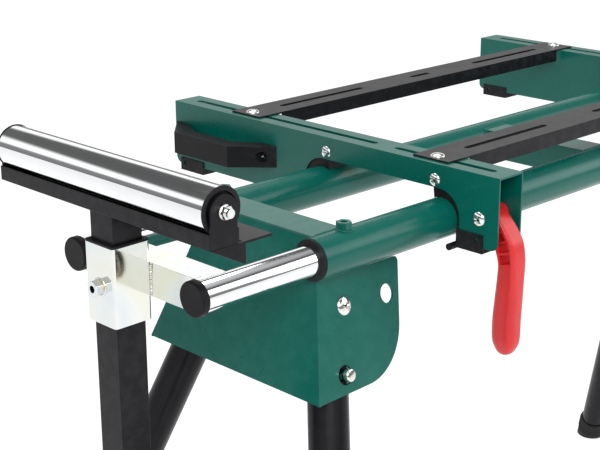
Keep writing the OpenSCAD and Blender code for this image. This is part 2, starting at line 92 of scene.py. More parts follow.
def colourDriftGroup():
    # slow change of tone over a surface, from one colour to the other
    tree, given, out = newGroup("colourDrift", [
        ("Light", "NodeSocketColor", (1, 1, 1, 1)), ("Dark", "NodeSocketColor", (0, 0, 0, 1)),
        ("Scale", "NodeSocketFloat", 8.0), ("Fine Scale", "NodeSocketFloat", 90.0)],
        [("Color", "NodeSocketColor"), ("Mask", "NodeSocketFloat")])
    place = addNode(tree, "ShaderNodeTexCoord").outputs["Object"]
    slow = addNode(tree, "ShaderNodeTexNoise", {"Vector": place, "Scale": given["Scale"], "Detail": 3.0,
        "Roughness": 0.55})
    fine = addNode(tree, "ShaderNodeTexNoise", {"Vector": place, "Scale": given["Fine Scale"], "Detail": 2.0})
    both = addNode(tree, "ShaderNodeMath", {0: fine.outputs["Fac"], 1: 0.35, 2: slow.outputs["Fac"]},
        operation="MULTIPLY_ADD")
    mask = addNode(tree, "ShaderNodeMapRange", {"Value": both.outputs[0], "From Min": 0.42, "From Max": 0.92})
    mixed = addNode(tree, "ShaderNodeMix", {"Factor": mask.outputs["Result"], 6: given["Dark"],
        7: given["Light"]}, data_type="RGBA")
    tree.links.new(mixed.outputs[2], out["Color"])
    tree.links.new(mask.outputs["Result"], out["Mask"])
    return tree


def paintSkinGroup():
    # orange peel of sprayed paint, with a little settled dust on what faces up
    tree, given, out = newGroup("paintSkin", [
        ("Peel Scale", "NodeSocketFloat", 620.0), ("Grain Scale", "NodeSocketFloat", 3200.0),
            ("Grain", "NodeSocketFloat", 0.15),
        ("Smooth", "NodeSocketFloat", 0.25), ("Rough", "NodeSocketFloat", 0.42),
            ("Dust", "NodeSocketFloat", 0.1)],
        [("Height", "NodeSocketFloat"), ("Roughness", "NodeSocketFloat"), ("Dust Mask", "NodeSocketFloat")])
    place = addNode(tree, "ShaderNodeTexCoord").outputs["Object"]
    peel = addNode(tree, "ShaderNodeTexNoise", {"Vector": place, "Scale": given["Peel Scale"], "Detail": 1.0})
    grain = addNode(tree, "ShaderNodeTexNoise", {"Vector": place, "Scale": given["Grain Scale"],
        "Detail": 1.0})
    height = addNode(tree, "ShaderNodeMath", {0: grain.outputs["Fac"], 1: given["Grain"],
        2: peel.outputs["Fac"]}, operation="MULTIPLY_ADD")
    blotch = addNode(tree, "ShaderNodeTexNoise", {"Vector": place, "Scale": 34.0, "Detail": 4.0,
        "Roughness": 0.6})
    facing = addNode(tree, "ShaderNodeSeparateXYZ", {0: addNode(tree,
        "ShaderNodeNewGeometry").outputs["Normal"]})
    up = addNode(tree, "ShaderNodeMapRange", {"Value": facing.outputs["Z"], "From Min": 0.5, "From Max": 1.0})
    speck = addNode(tree, "ShaderNodeTexNoise", {"Vector": place, "Scale": 260.0, "Detail": 3.0,
        "Roughness": 0.7})
    specks = addNode(tree, "ShaderNodeMapRange", {"Value": speck.outputs["Fac"], "From Min": 0.5,
        "From Max": 0.75})
    lying = addNode(tree, "ShaderNodeMath", {0: up.outputs["Result"], 1: specks.outputs["Result"]},
        operation="MULTIPLY")
    dust = addNode(tree, "ShaderNodeMath", {0: lying.outputs[0], 1: given["Dust"]}, operation="MULTIPLY")
    rough = addNode(tree, "ShaderNodeMapRange", {"Value": blotch.outputs["Fac"], "From Min": 0.3,
        "From Max": 0.7,
                                                 "To Min": given["Smooth"], "To Max": given["Rough"]})
    total = addNode(tree, "ShaderNodeMath", {0: rough.outputs["Result"], 1: dust.outputs[0]}, operation="ADD")
    tree.links.new(height.outputs[0], out["Height"])
    tree.links.new(total.outputs[0], out["Roughness"])
    tree.links.new(dust.outputs[0], out["Dust Mask"])
    return tree


def rubMarksGroup():
    # thin straight scuffs along one direction, gathered in patches
    tree, given, out = newGroup("rubMarks", [
        ("Stretch", "NodeSocketVector", (6.0, 400.0, 400.0)), ("Patch Scale", "NodeSocketFloat", 14.0),
            ("Amount", "NodeSocketFloat", 0.5)],
        [("Mask", "NodeSocketFloat")])
    place = addNode(tree, "ShaderNodeTexCoord").outputs["Object"]
    along = addNode(tree, "ShaderNodeVectorMath", {0: place, 1: given["Stretch"]}, operation="MULTIPLY")
    lines = addNode(tree, "ShaderNodeTexNoise", {"Vector": along.outputs[0], "Scale": 1.0, "Detail": 2.0})
    thin = addNode(tree, "ShaderNodeMapRange", {"Value": lines.outputs["Fac"], "From Min": 0.6,
        "From Max": 0.72})
    patch = addNode(tree, "ShaderNodeTexNoise", {"Vector": place, "Scale": given["Patch Scale"],
        "Detail": 2.0})
    patches = addNode(tree, "ShaderNodeMapRange", {"Value": patch.outputs["Fac"], "From Min": 0.5,
        "From Max": 0.68})
    both = addNode(tree, "ShaderNodeMath", {0: thin.outputs["Result"], 1: patches.outputs["Result"]},
        operation="MULTIPLY")
    mask = addNode(tree, "ShaderNodeMath", {0: both.outputs[0], 1: given["Amount"]}, operation="MULTIPLY")
    tree.links.new(mask.outputs[0], out["Mask"])
    return tree


def edgeWearAndHighlightGroup():
    # sharp corners lightened: partly finish worn thin, partly a painted highlight along the edges
    tree, given, out = newGroup("edgeWearAndHighlight", [("Amount", "NodeSocketFloat", 0.4), ("Break Up",
        "NodeSocketFloat", 180.0)],
                                [("Mask", "NodeSocketFloat")])
    corner = addNode(tree, "ShaderNodeNewGeometry").outputs["Pointiness"]
    sharp = addNode(tree, "ShaderNodeMapRange", {"Value": corner, "From Min": 0.53, "From Max": 0.62})
    place = addNode(tree, "ShaderNodeTexCoord").outputs["Object"]
    noise = addNode(tree, "ShaderNodeTexNoise", {"Vector": place, "Scale": given["Break Up"], "Detail": 3.0})
    broken = addNode(tree, "ShaderNodeMapRange", {"Value": noise.outputs["Fac"], "From Min": 0.42,
        "From Max": 0.62})
    both = addNode(tree, "ShaderNodeMath", {0: sharp.outputs["Result"], 1: broken.outputs["Result"]},
        operation="MULTIPLY")
    mask = addNode(tree, "ShaderNodeMath", {0: both.outputs[0], 1: given["Amount"]}, operation="MULTIPLY")
    tree.links.new(mask.outputs[0], out["Mask"])
    return tree


def platingGroup():
    # passivated zinc: soft yellow, blue and clear clouds with a faint haze
    tree, given, out = newGroup("platingClouds", [
        ("Clear", "NodeSocketColor", (0.8, 0.82, 0.82, 1)), ("Yellow", "NodeSocketColor", (0.8, 0.72, 0.45,
            1)),
        ("Blue", "NodeSocketColor", (0.55, 0.66, 0.8, 1)), ("Scale", "NodeSocketFloat", 16.0),
            ("Tint", "NodeSocketFloat", 0.5)],
        [("Color", "NodeSocketColor"), ("Roughness", "NodeSocketFloat"), ("Height", "NodeSocketFloat")])
    place = addNode(tree, "ShaderNodeTexCoord").outputs["Object"]
    cloud = addNode(tree, "ShaderNodeTexNoise", {"Vector": place, "Scale": given["Scale"], "Detail": 3.0,
        "Distortion": 0.8})
    yellow = addNode(tree, "ShaderNodeMapRange", {"Value": cloud.outputs["Fac"], "From Min": 0.5,
        "From Max": 0.72})
    blue = addNode(tree, "ShaderNodeMapRange", {"Value": cloud.outputs["Fac"], "From Min": 0.47,
        "From Max": 0.28})
    yellowPart = addNode(tree, "ShaderNodeMath", {0: yellow.outputs["Result"], 1: given["Tint"]},
        operation="MULTIPLY")
    bluePart = addNode(tree, "ShaderNodeMath", {0: blue.outputs["Result"], 1: given["Tint"]},
        operation="MULTIPLY")
    first = addNode(tree, "ShaderNodeMix", {"Factor": yellowPart.outputs[0], 6: given["Clear"],
        7: given["Yellow"]}, data_type="RGBA")
    second = addNode(tree, "ShaderNodeMix", {"Factor": bluePart.outputs[0], 6: first.outputs[2],
        7: given["Blue"]}, data_type="RGBA")
    cells = addNode(tree, "ShaderNodeTexNoise", {"Vector": place, "Scale": 38.0, "Detail": 2.0})
    rough = addNode(tree, "ShaderNodeMapRange", {"Value": cells.outputs["Fac"], "From Min": 0.3,
        "From Max": 0.7, "To Min": 0.07, "To Max": 0.13})
    smudge = addNode(tree, "ShaderNodeTexNoise", {"Vector": place, "Scale": 55.0, "Detail": 4.0,
        "Roughness": 0.65})
    haze = addNode(tree, "ShaderNodeMapRange", {"Value": smudge.outputs["Fac"], "From Min": 0.5,
        "From Max": 0.8, "To Max": 0.07})
    total = addNode(tree, "ShaderNodeMath", {0: rough.outputs["Result"], 1: haze.outputs["Result"]},
        operation="ADD")
    ripple = addNode(tree, "ShaderNodeTexNoise", {"Vector": place, "Scale": 900.0, "Detail": 2.0})
    tree.links.new(second.outputs[2], out["Color"])
    tree.links.new(total.outputs[0], out["Roughness"])
    tree.links.new(ripple.outputs["Fac"], out["Height"])
    return tree


colourDrift = colourDriftGroup()
paintSkin = paintSkinGroup()
rubMarks = rubMarksGroup()
edgeWearAndHighlight = edgeWearAndHighlightGroup()
platingClouds = platingGroup()


def placeGroup(tree, group, values):
    node = addNode(tree, "ShaderNodeGroup", node_tree=group)
    for key, value in values.items():
        node.inputs[key].default_value = value
    return node.outputs


def newMaterial(name, constants):
    material = bpy.data.materials.new(name)
    material.use_nodes = True
    shader = material.node_tree.nodes["Principled BSDF"]
    for key, value in constants.items():
        shader.inputs[key].default_value = value
    return material, material.node_tree, shader


def addBump(tree, shader, height, strength, distance):
    bump = addNode(tree, "ShaderNodeBump", {"Height": height, "Strength": strength, "Distance": distance})
    tree.links.new(bump.outputs["Normal"], shader.inputs["Normal"])


def mixColour(tree, factor, a, b):
    return addNode(tree, "ShaderNodeMix", {"Factor": factor, 6: a, 7: b}, data_type="RGBA").outputs[2]


def paintMaterial(name, look):
    material, tree, shader = newMaterial(name, look["shader"])
    drift = placeGroup(tree, colourDrift, look["drift"])
    skin = placeGroup(tree, paintSkin, look["skin"])
    # lighter colour on sharp edges: partly wear, partly a painted highlight
    wearAndHighlight = placeGroup(tree, edgeWearAndHighlight, look["wearAndHighlight"])
    scuffs = placeGroup(tree, rubMarks, look["scuffs"])
    colour = mixColour(tree, skin["Dust Mask"], drift["Color"], look["dustColour"])
    colour = mixColour(tree, wearAndHighlight["Mask"], colour, look["wearAndHighlightColour"])
    colour = mixColour(tree, scuffs["Mask"], colour, look["scuffColour"])
    tree.links.new(colour, shader.inputs["Base Color"])
    rough = addNode(tree, "ShaderNodeMath", {0: scuffs["Mask"], 1: 0.2, 2: skin["Roughness"]},
        operation="MULTIPLY_ADD")
    tree.links.new(rough.outputs[0], shader.inputs["Roughness"])
    addBump(tree, shader, skin["Height"], look["bump"][0], look["bump"][1])
    return material


# each look's edge colour is lighter than its base: partly wear, partly a painted highlight on the edges
greenLook = {
    "shader": {"Coat Weight": 0.1, "Coat Roughness": 0.14, "IOR": 1.45, "Specular IOR Level": 0.32},
    "drift": {"Light": (0.0, 0.108, 0.084, 1), "Dark": (0.0, 0.094, 0.072, 1), "Scale": 4.0,
        "Fine Scale": 30.0},
    "skin": {"Peel Scale": 420.0, "Grain": 0.1, "Smooth": 0.26, "Rough": 0.31, "Dust": 0.01},
    "wearAndHighlight": {"Amount": 0.12, "Break Up": 60.0},
    "scuffs": {"Stretch": (8.0, 300.0, 300.0), "Amount": 0.02},
    "dustColour": (0.25, 0.3, 0.28, 1), "wearAndHighlightColour": (0.04, 0.2, 0.16, 1),
        "scuffColour": (0.06, 0.2, 0.17, 1),
    "bump": (0.12, 0.00012),
}
blackPaintLook = {
    "shader": {"Coat Weight": 0.05, "Coat Roughness": 0.2, "IOR": 1.45, "Specular IOR Level": 0.16},
    "drift": {"Light": (0.0085, 0.0080, 0.0105, 1), "Dark": (0.0055, 0.0052, 0.0070, 1), "Scale": 6.0,
        "Fine Scale": 40.0},
    "skin": {"Peel Scale": 560.0, "Grain": 0.25, "Smooth": 0.27, "Rough": 0.33, "Dust": 0.015},
    "wearAndHighlight": {"Amount": 0.16, "Break Up": 80.0},
    "scuffs": {"Stretch": (8.0, 300.0, 300.0), "Amount": 0.03},
    "dustColour": (0.2, 0.2, 0.2, 1), "wearAndHighlightColour": (0.09, 0.088, 0.095, 1),
        "scuffColour": (0.1, 0.1, 0.105, 1),
    "bump": (0.2, 0.00012),
}
blackPlasticLook = {
    "shader": {"IOR": 1.46, "Specular IOR Level": 0.16},
    "drift": {"Light": (0.012, 0.0118, 0.0135, 1), "Dark": (0.008, 0.008, 0.0095, 1), "Scale": 20.0,
        "Fine Scale": 200.0},
    "skin": {"Peel Scale": 1500.0, "Grain": 0.8, "Smooth": 0.40, "Rough": 0.50, "Dust": 0.02},
    "wearAndHighlight": {"Amount": 0.2, "Break Up": 160.0},
    "scuffs": {"Stretch": (300.0, 12.0, 300.0), "Amount": 0.04},
    "dustColour": (0.2, 0.2, 0.2, 1), "wearAndHighlightColour": (0.10, 0.10, 0.11, 1), "scuffColour": (0.1, 0.1, 0.1, 1),
    "bump": (0.35, 0.0001),
}
redPlasticLook = {
    "shader": {"IOR": 1.47, "Coat Weight": 0.15, "Coat Roughness": 0.3, "Subsurface Weight": 0.06,
               "Subsurface Radius": (0.004, 0.001, 0.0008), "Subsurface Scale": 1.0},
    "drift": {"Light": (0.66, 0.016, 0.018, 1), "Dark": (0.56, 0.011, 0.013, 1), "Scale": 24.0,
        "Fine Scale": 220.0},
    "skin": {"Peel Scale": 900.0, "Grain": 0.4, "Smooth": 0.3, "Rough": 0.38, "Dust": 0.02},
    "wearAndHighlight": {"Amount": 0.25, "Break Up": 160.0},
    "scuffs": {"Stretch": (300.0, 300.0, 10.0), "Amount": 0.05},
    "dustColour": (0.7, 0.2, 0.18, 1), "wearAndHighlightColour": (0.85, 0.16, 0.12, 1),
        "scuffColour": (0.8, 0.2, 0.16, 1),
    "bump": (0.2, 0.0001),
}
rubberLook = {
    "shader": {"IOR": 1.5, "Specular IOR Level": 0.35},
    "drift": {"Light": (0.012, 0.0115, 0.0115, 1), "Dark": (0.007, 0.007, 0.007, 1), "Scale": 30.0,
        "Fine Scale": 260.0},
    "skin": {"Peel Scale": 900.0, "Grain": 1.0, "Smooth": 0.62, "Rough": 0.8, "Dust": 0.3},
    "wearAndHighlight": {"Amount": 0.3, "Break Up": 200.0},
    "scuffs": {"Stretch": (200.0, 200.0, 30.0), "Amount": 0.3},
    "dustColour": (0.18, 0.17, 0.16, 1), "wearAndHighlightColour": (0.07, 0.07, 0.07, 1),
        "scuffColour": (0.09, 0.09, 0.09, 1),
    "bump": (0.4, 0.00015),
}
greenPaint = paintMaterial("greenPaint", greenLook)
blackPaint = paintMaterial("blackPaint", blackPaintLook)
blackPlastic = paintMaterial("blackPlastic", blackPlasticLook)
redPlastic = paintMaterial("redPlastic", redPlasticLook)
feetRubber = paintMaterial("feetRubber", rubberLook)

zincLook = {
    "shader": {"Metallic": 1.0},
    "clouds": {"Clear": (0.78, 0.80, 0.77, 1), "Yellow": (0.80, 0.74, 0.50, 1),
        "Blue": (0.62, 0.70, 0.80, 1), "Scale": 9.0, "Tint": 0.6},
    "scuffs": {"Stretch": (200.0, 200.0, 9.0), "Amount": 0.12},
    "bump": (0.05, 0.00005),
}


def zincMaterial(name, look):
    material, tree, shader = newMaterial(name, look["shader"])
    clouds = placeGroup(tree, platingClouds, look["clouds"])
    scuffs = placeGroup(tree, rubMarks, look["scuffs"])
    tree.links.new(clouds["Color"], shader.inputs["Base Color"])
    rough = addNode(tree, "ShaderNodeMath", {0: scuffs["Mask"], 1: 0.25, 2: clouds["Roughness"]},
        operation="MULTIPLY_ADD")
    tree.links.new(rough.outputs[0], shader.inputs["Roughness"])
    addBump(tree, shader, clouds["Height"], look["bump"][0], look["bump"][1])
    return material


zincPlate = zincMaterial("zincPlate", zincLook)
weldLook = {
    "shader": {"Metallic": 1.0},
    "clouds": {"Clear": (0.78, 0.76, 0.70, 1), "Yellow": (0.85, 0.62, 0.28, 1),
        "Blue": (0.45, 0.55, 0.78, 1), "Scale": 60.0, "Tint": 0.9},
    "scuffs": {"Stretch": (200.0, 200.0, 60.0), "Amount": 0.3},
    "bump": (0.3, 0.0001),
}
weldMetal = zincMaterial("weldMetal", weldLook)
chromeLook = {
    "shader": {"Metallic": 1.0},
    "drift": {"Light": (0.90, 0.91, 0.92, 1), "Dark": (0.82, 0.83, 0.85, 1), "Scale": 4.0,
        "Fine Scale": 40.0},
    "skin": {"Peel Scale": 300.0, "Grain": 0.05, "Smooth": 0.045, "Rough": 0.09, "Dust": 0.03},
    "scuffs": {"Stretch": (5.0, 700.0, 700.0), "Amount": 0.3},
    "bump": (0.03, 0.00005),
}


def chromeMaterial(name, look):
    material, tree, shader = newMaterial(name, look["shader"])
    drift = placeGroup(tree, colourDrift, look["drift"])
    skin = placeGroup(tree, paintSkin, look["skin"])
    scuffs = placeGroup(tree, rubMarks, look["scuffs"])
    tree.links.new(drift["Color"], shader.inputs["Base Color"])
    rough = addNode(tree, "ShaderNodeMath", {0: scuffs["Mask"], 1: 0.25, 2: skin["Roughness"]},
        operation="MULTIPLY_ADD")
    tree.links.new(rough.outputs[0], shader.inputs["Roughness"])
    addBump(tree, shader, skin["Height"], look["bump"][0], look["bump"][1])
    return material


chromePlate = chromeMaterial("chromePlate", chromeLook)
finishes = {
    "green_paint": greenPaint, "black_paint": blackPaint, "black_plastic": blackPlastic,
        "red_plastic": redPlastic,
    "zinc": zincPlate, "chrome": chromePlate, "rubber": feetRubber,
}
print("materials ready:", len(finishes) + 1)


# Pieces made from the CAD nodes

def keepMesh(name, shape, material):
    mesh = bpy.data.meshes.new(name)
    shape.to_mesh(mesh)
    shape.free()
    mesh.materials.clear()
    mesh.materials.append(material)
    piece = bpy.data.objects.new(name, mesh)
    bpy.context.scene.collection.objects.link(piece)
    return piece


def mergedShape(nodeName, flat=0.5):
    shape = bmesh.new()
    shape.from_mesh(frame["nodes"][nodeName].data)
    bmesh.ops.remove_doubles(shape, verts=shape.verts, dist=2e-6)
    bmesh.ops.dissolve_limit(shape, angle_limit=radians(flat), verts=shape.verts, edges=shape.edges)
    return shape


def roundEdges(shape, width, angle=32, segments=2):
    sharp = [e for e in shape.edges if len(e.link_faces) == 2 and e.calc_face_angle(0) > radians(angle)]
    bmesh.ops.bevel(shape, geom=sharp, offset=width, segments=segments, profile=0.5, affect="EDGES",
        clamp_overlap=True)


def shadeByAngle(piece, angle=30):
    mesh = piece.data
    mesh.shade_smooth()
    mesh.set_sharp_from_angle(angle=radians(angle))
    weighted = piece.modifiers.new("flatFaces", "WEIGHTED_NORMAL")
    weighted.keep_sharp = True
    weighted.weight = 60


def bakeModifiers(piece):
    graph = bpy.context.evaluated_depsgraph_get()
    mesh = bpy.data.meshes.new_from_object(piece.evaluated_get(graph), preserve_all_data_layers=True,
        depsgraph=graph)
    old = piece.data
    piece.modifiers.clear()
    piece.data = mesh
    mesh.name = piece.name
    bpy.data.meshes.remove(old)


def putOn(piece, nodes):
    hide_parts(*nodes)
    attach(piece, bodyOf[nodes[0]])
    return piece


sheetMetal = {"width": 0.7 * mm, "angle": 32}
tubeEdge = {"width": 0.35 * mm, "angle": 50}
moulded = {"width": 1.1 * mm, "angle": 32}


def dressNode(nodeName, slotName, edge):
    shape = mergedShape(nodeName)
    roundEdges(shape, edge["width"], edge["angle"])
    piece = keepMesh(nodeName + "_piece", shape, finishes[slotName])
    shadeByAngle(piece)
    bakeModifiers(piece)
    return putOn(piece, [nodeName])


sides = ("left", "right")
corners = [side + "_" + row for side in sides for row in ("front", "rear")]
dressList = [("green_paint", sheetMetal, ["left_bracket", "right_bracket", "middle_member", "left_beam",
    "right_beam"]),
             ("green_paint", tubeEdge, ["front_tube", "rear_tube", "tube_nuts"]),
             ("black_plastic", moulded, ["tube_bushes", "saddle_pads", "clamp_feet"]),
             ("black_paint", sheetMetal, ["rear_rail", "front_rail"]),
             ("black_paint", tubeEdge, [corner + "_leg" for corner in corners]),
             ("rubber", moulded, [corner + "_foot" for corner in corners]),
             ("zinc", tubeEdge, [corner + "_button" for corner in corners]),
             ("chrome", tubeEdge, [side + part for side in sides for part in ("_slide_tubes", "_roller")]),
             ("zinc", sheetMetal, [side + part for side in sides for part in ("_crossbar", "_sleeve")]),
             ("zinc", tubeEdge, [side + part for side in sides for part in ("_sleeve_nut", "_axle")]),
             ("black_plastic", tubeEdge, [side + part for side in sides for part in ("_tube_plugs",
                 "_collar", "_roller_ends")]),
             ("black_paint", sheetMetal, [side + part for side in sides for part in ("_post",
                 "_roller_bracket", "_stop_plate")])]
for slotName, edge, nodes in dressList:
    for nodeName in nodes:
        dressNode(nodeName, slotName, edge)
print("dressed nodes:", sum(len(nodes) for slotName, edge, nodes in dressList))


# Tools for what repeats: fasteners, weld runs and ribs

def addTool(piece, tree, values):
    tool = piece.modifiers.new(tree.name, "NODES")
    tool.node_group = tree
    for item in tree.interface.items_tree:
        if item.item_type == "SOCKET" and item.in_out == "INPUT" and item.name in values:
            tool[item.identifier] = values[item.name]
    bakeModifiers(piece)


def finishTree(tree, shape, given, out):
    real = addNode(tree, "GeometryNodeRealizeInstances", {"Geometry": shape})
    done = addNode(tree, "GeometryNodeSetMaterial", {"Geometry": real.outputs[0],
        "Material": given["Material"]})
    tree.links.new(done.outputs[0], out["Geometry"])


def toolInputs(*numbers):
    given = [("Geometry", "NodeSocketGeometry", None)]
    return given + [(name, "NodeSocketFloat", value) for name,
        value in numbers] + [("Material", "NodeSocketMaterial", None)]


def mathNode(tree, operation, *values):
    return addNode(tree, "ShaderNodeMath", dict(enumerate(values)), operation=operation).outputs[0]


def vectorOf(tree, x, y, z):
    return addNode(tree, "ShaderNodeCombineXYZ", {0: x, 1: y, 2: z}).outputs[0]


def movedShape(tree, shape, offset, scale=None):
    values = {"Geometry": shape, "Translation": offset}
    if scale is not None:
        values["Scale"] = scale
    return addNode(tree, "GeometryNodeTransform", values).outputs[0]


def fastenerTree(name, recessed):
    # head above its seat, threaded shank below it, washer and chamfered nut at the far end
    tree, given, out = newGroup(name, toolInputs(
        ("Head Radius", 0.01), ("Head Height", 0.004), ("Recess", 0.005), ("Shank Radius", 0.004),
            ("Shank Length", 0.05),
        ("Pitch", 0.00125), ("Grip", 0.04), ("Washer Radius", 0.009), ("Washer", 0.0015),
            ("Nut Size", 0.013), ("Nut Height", 0.007)),
        [("Geometry", "NodeSocketGeometry")], "GeometryNodeTree")
    ball = addNode(tree, "GeometryNodeMeshUVSphere", {"Segments": 48, "Rings": 24, "Radius": 1.0}).outputs[0]
    dome = movedShape(tree, ball, (0, 0, 0), vectorOf(tree, given["Head Radius"], given["Head Radius"],
        given["Head Height"]))
    block = addNode(tree, "GeometryNodeMeshCube", {"Size": (0.1, 0.1, 0.1)}).outputs[0]
    cutters = [movedShape(tree, block, (0, 0, -0.05))]
    if recessed:
        wide = mathNode(tree, "MULTIPLY", given["Recess"], 2.0)
        thin = mathNode(tree, "MULTIPLY", given["Recess"], 0.42)
        for size in (vectorOf(tree, wide, thin, given["Head Height"]),
            vectorOf(tree, thin, wide, given["Head Height"])):
            slot = addNode(tree, "GeometryNodeMeshCube", {"Size": size}).outputs[0]
            cutters.append(movedShape(tree, slot, vectorOf(tree, 0.0, 0.0, given["Head Height"])))
    head = addNode(tree, "GeometryNodeMeshBoolean", {"Mesh 1": dome}, operation="DIFFERENCE")
    for cutter in cutters:
        tree.links.new(cutter, head.inputs["Mesh 2"])
    half = mathNode(tree, "MULTIPLY", given["Shank Length"], -0.5)
    core = mathNode(tree, "MULTIPLY", given["Shank Radius"], 0.9)
    shank = addNode(tree, "GeometryNodeMeshCylinder", {"Vertices": 40, "Radius": core,
        "Depth": given["Shank Length"]}).outputs[0]
    turns = mathNode(tree, "DIVIDE", given["Shank Length"], given["Pitch"])
    helix = addNode(tree, "GeometryNodeCurveSpiral", {"Resolution": 28, "Rotations": turns,
        "Start Radius": core, "End Radius": core,
                                                      "Height": given["Shank Length"]}).outputs[0]
    ridge = addNode(tree, "GeometryNodeCurvePrimitiveCircle",
        {"Resolution": 5, "Radius": mathNode(tree, "MULTIPLY", given["Pitch"], 0.42)})
    thread = addNode(tree, "GeometryNodeCurveToMesh", {"Curve": helix, "Profile Curve": ridge.outputs[0],
        "Fill Caps": True}).outputs[0]
    washer = addNode(tree, "GeometryNodeMeshCylinder", {"Vertices": 56, "Radius": given["Washer Radius"],
        "Depth": given["Washer"]}).outputs[0]
    across = mathNode(tree, "MULTIPLY", given["Nut Size"], 0.57735)
    prism = addNode(tree, "GeometryNodeMeshCylinder", {"Vertices": 6, "Radius": across,
        "Depth": given["Nut Height"]}).outputs[0]
    wide = mathNode(tree, "MULTIPLY", given["Nut Size"], 0.62)
    chamfer = movedShape(tree, ball, (0, 0, 0), vectorOf(tree, wide, wide, mathNode(tree, "MULTIPLY",
        given["Nut Height"], 0.85)))
    nut = addNode(tree, "GeometryNodeMeshBoolean", {"Mesh 2": prism}, operation="INTERSECT")
    tree.links.new(chamfer, nut.inputs["Mesh 2"])
    washerPlace = mathNode(tree, "MULTIPLY_ADD", given["Washer"], -0.5,
        mathNode(tree, "MULTIPLY", given["Grip"], -1.0))
    nutFace = mathNode(tree, "SUBTRACT", mathNode(tree, "MULTIPLY", given["Grip"], -1.0), given["Washer"])
    nutPlace = mathNode(tree, "MULTIPLY_ADD", given["Nut Height"], -0.5, nutFace)
    joined = addNode(tree, "GeometryNodeJoinGeometry")
    parts = [head.outputs[0], movedShape(tree, shank, vectorOf(tree, 0.0, 0.0, half)),
             movedShape(tree, thread, vectorOf(tree, 0.0, 0.0,
                 mathNode(tree, "MULTIPLY", given["Shank Length"], -1.0))),
             movedShape(tree, washer, vectorOf(tree, 0.0, 0.0, washerPlace)),
                 movedShape(tree, nut.outputs[0], vectorOf(tree, 0.0, 0.0, nutPlace))]
    for part in parts:
        tree.links.new(part, joined.inputs[0])
    facing = addNode(tree, "GeometryNodeInputNamedAttribute", {"Name": "facing"},
        data_type="FLOAT_VECTOR").outputs[0]
    turned = addNode(tree, "FunctionNodeAlignRotationToVector", {"Vector": facing}, axis="Z").outputs[0]
    placed = addNode(tree, "GeometryNodeInstanceOnPoints", {"Points": given["Geometry"],
        "Instance": joined.outputs[0], "Rotation": turned})
    finishTree(tree, placed.outputs[0], given, out)
    return tree


def weldTree():
    # bead along each line, swelling and narrowing with every dab of the torch
    tree, given, out = newGroup("weldRun", toolInputs(("Radius", 0.002), ("Dab", 0.0022), ("Ripple", 0.22),
        ("Wander", 0.35)),
                                [("Geometry", "NodeSocketGeometry")], "GeometryNodeTree")
    path = addNode(tree, "GeometryNodeMeshToCurve", {"Mesh": given["Geometry"]}).outputs[0]
    fine = addNode(tree, "GeometryNodeResampleCurve", {"Curve": path, "Length": 0.0005},
        mode="LENGTH").outputs[0]
    along = addNode(tree, "GeometryNodeSplineParameter").outputs["Length"]
    phase = mathNode(tree, "MULTIPLY", mathNode(tree, "DIVIDE", along, given["Dab"]), pi)
    dab = mathNode(tree, "ABSOLUTE", mathNode(tree, "SINE", phase))
    noise = addNode(tree, "ShaderNodeTexNoise", {"Scale": 160.0, "Detail": 2.0}).outputs["Fac"]
    uneven = mathNode(tree, "MULTIPLY", mathNode(tree, "SUBTRACT", noise, 0.5), given["Wander"])
    swell = mathNode(tree, "MULTIPLY_ADD", dab, given["Ripple"], mathNode(tree, "ADD", uneven, 0.85))
    ring = addNode(tree, "GeometryNodeCurvePrimitiveCircle", {"Resolution": 12,
        "Radius": given["Radius"]}).outputs[0]
    bead = addNode(tree, "GeometryNodeCurveToMesh", {"Curve": fine, "Profile Curve": ring, "Scale": swell,
        "Fill Caps": True})
    finishTree(tree, bead.outputs[0], given, out)
    return tree


def ribTree():
    # rings set along a straight line
    tree, given, out = newGroup("ribStack", toolInputs(("Spacing", 0.006), ("Ring Radius", 0.0285),
        ("Thickness", 0.001)),
                                [("Geometry", "NodeSocketGeometry")], "GeometryNodeTree")
    path = addNode(tree, "GeometryNodeMeshToCurve", {"Mesh": given["Geometry"]}).outputs[0]
    stops = addNode(tree, "GeometryNodeCurveToPoints", {"Curve": path, "Length": given["Spacing"]},
        mode="LENGTH")
    turned = addNode(tree, "FunctionNodeAlignRotationToVector", {"Vector": stops.outputs["Tangent"]},
        axis="Z").outputs[0]
    loop = addNode(tree, "GeometryNodeCurvePrimitiveCircle", {"Resolution": 96,
        "Radius": given["Ring Radius"]}).outputs[0]
    section = addNode(tree, "GeometryNodeCurvePrimitiveCircle",
        {"Resolution": 10, "Radius": given["Thickness"]}).outputs[0]
    ring = addNode(tree, "GeometryNodeCurveToMesh", {"Curve": loop, "Profile Curve": section}).outputs[0]
    placed = addNode(tree, "GeometryNodeInstanceOnPoints", {"Points": stops.outputs["Points"],
        "Instance": ring, "Rotation": turned})
    finishTree(tree, placed.outputs[0], given, out)
    return tree


crossHead = fastenerTree("crossHeadFastener", True)
plainHead = fastenerTree("plainHeadFastener", False)
weldRun = weldTree()
ribStack = ribTree()


def outward(piece):
    shape = bmesh.new()
    shape.from_mesh(piece.data)
    bmesh.ops.remove_doubles(shape, verts=shape.verts, dist=2e-6)
    bmesh.ops.recalc_face_normals(shape, faces=shape.faces)
    shape.to_mesh(piece.data)
    shape.free()


def toolPiece(name, points, edges, tree, values, material, facing=None):
    mesh = bpy.data.meshes.new(name)
    mesh.from_pydata([tuple(p) for p in points], edges, [])
    if facing:
        attribute = mesh.attributes.new("facing", "FLOAT_VECTOR", "POINT")
        for item, direction in zip(attribute.data, facing):
            item.vector = direction
    piece = bpy.data.objects.new(name, mesh)
    bpy.context.scene.collection.objects.link(piece)
    addTool(piece, tree, dict(values, Material=material))
    outward(piece)
    shadeByAngle(piece, 40)
    bakeModifiers(piece)
    return piece


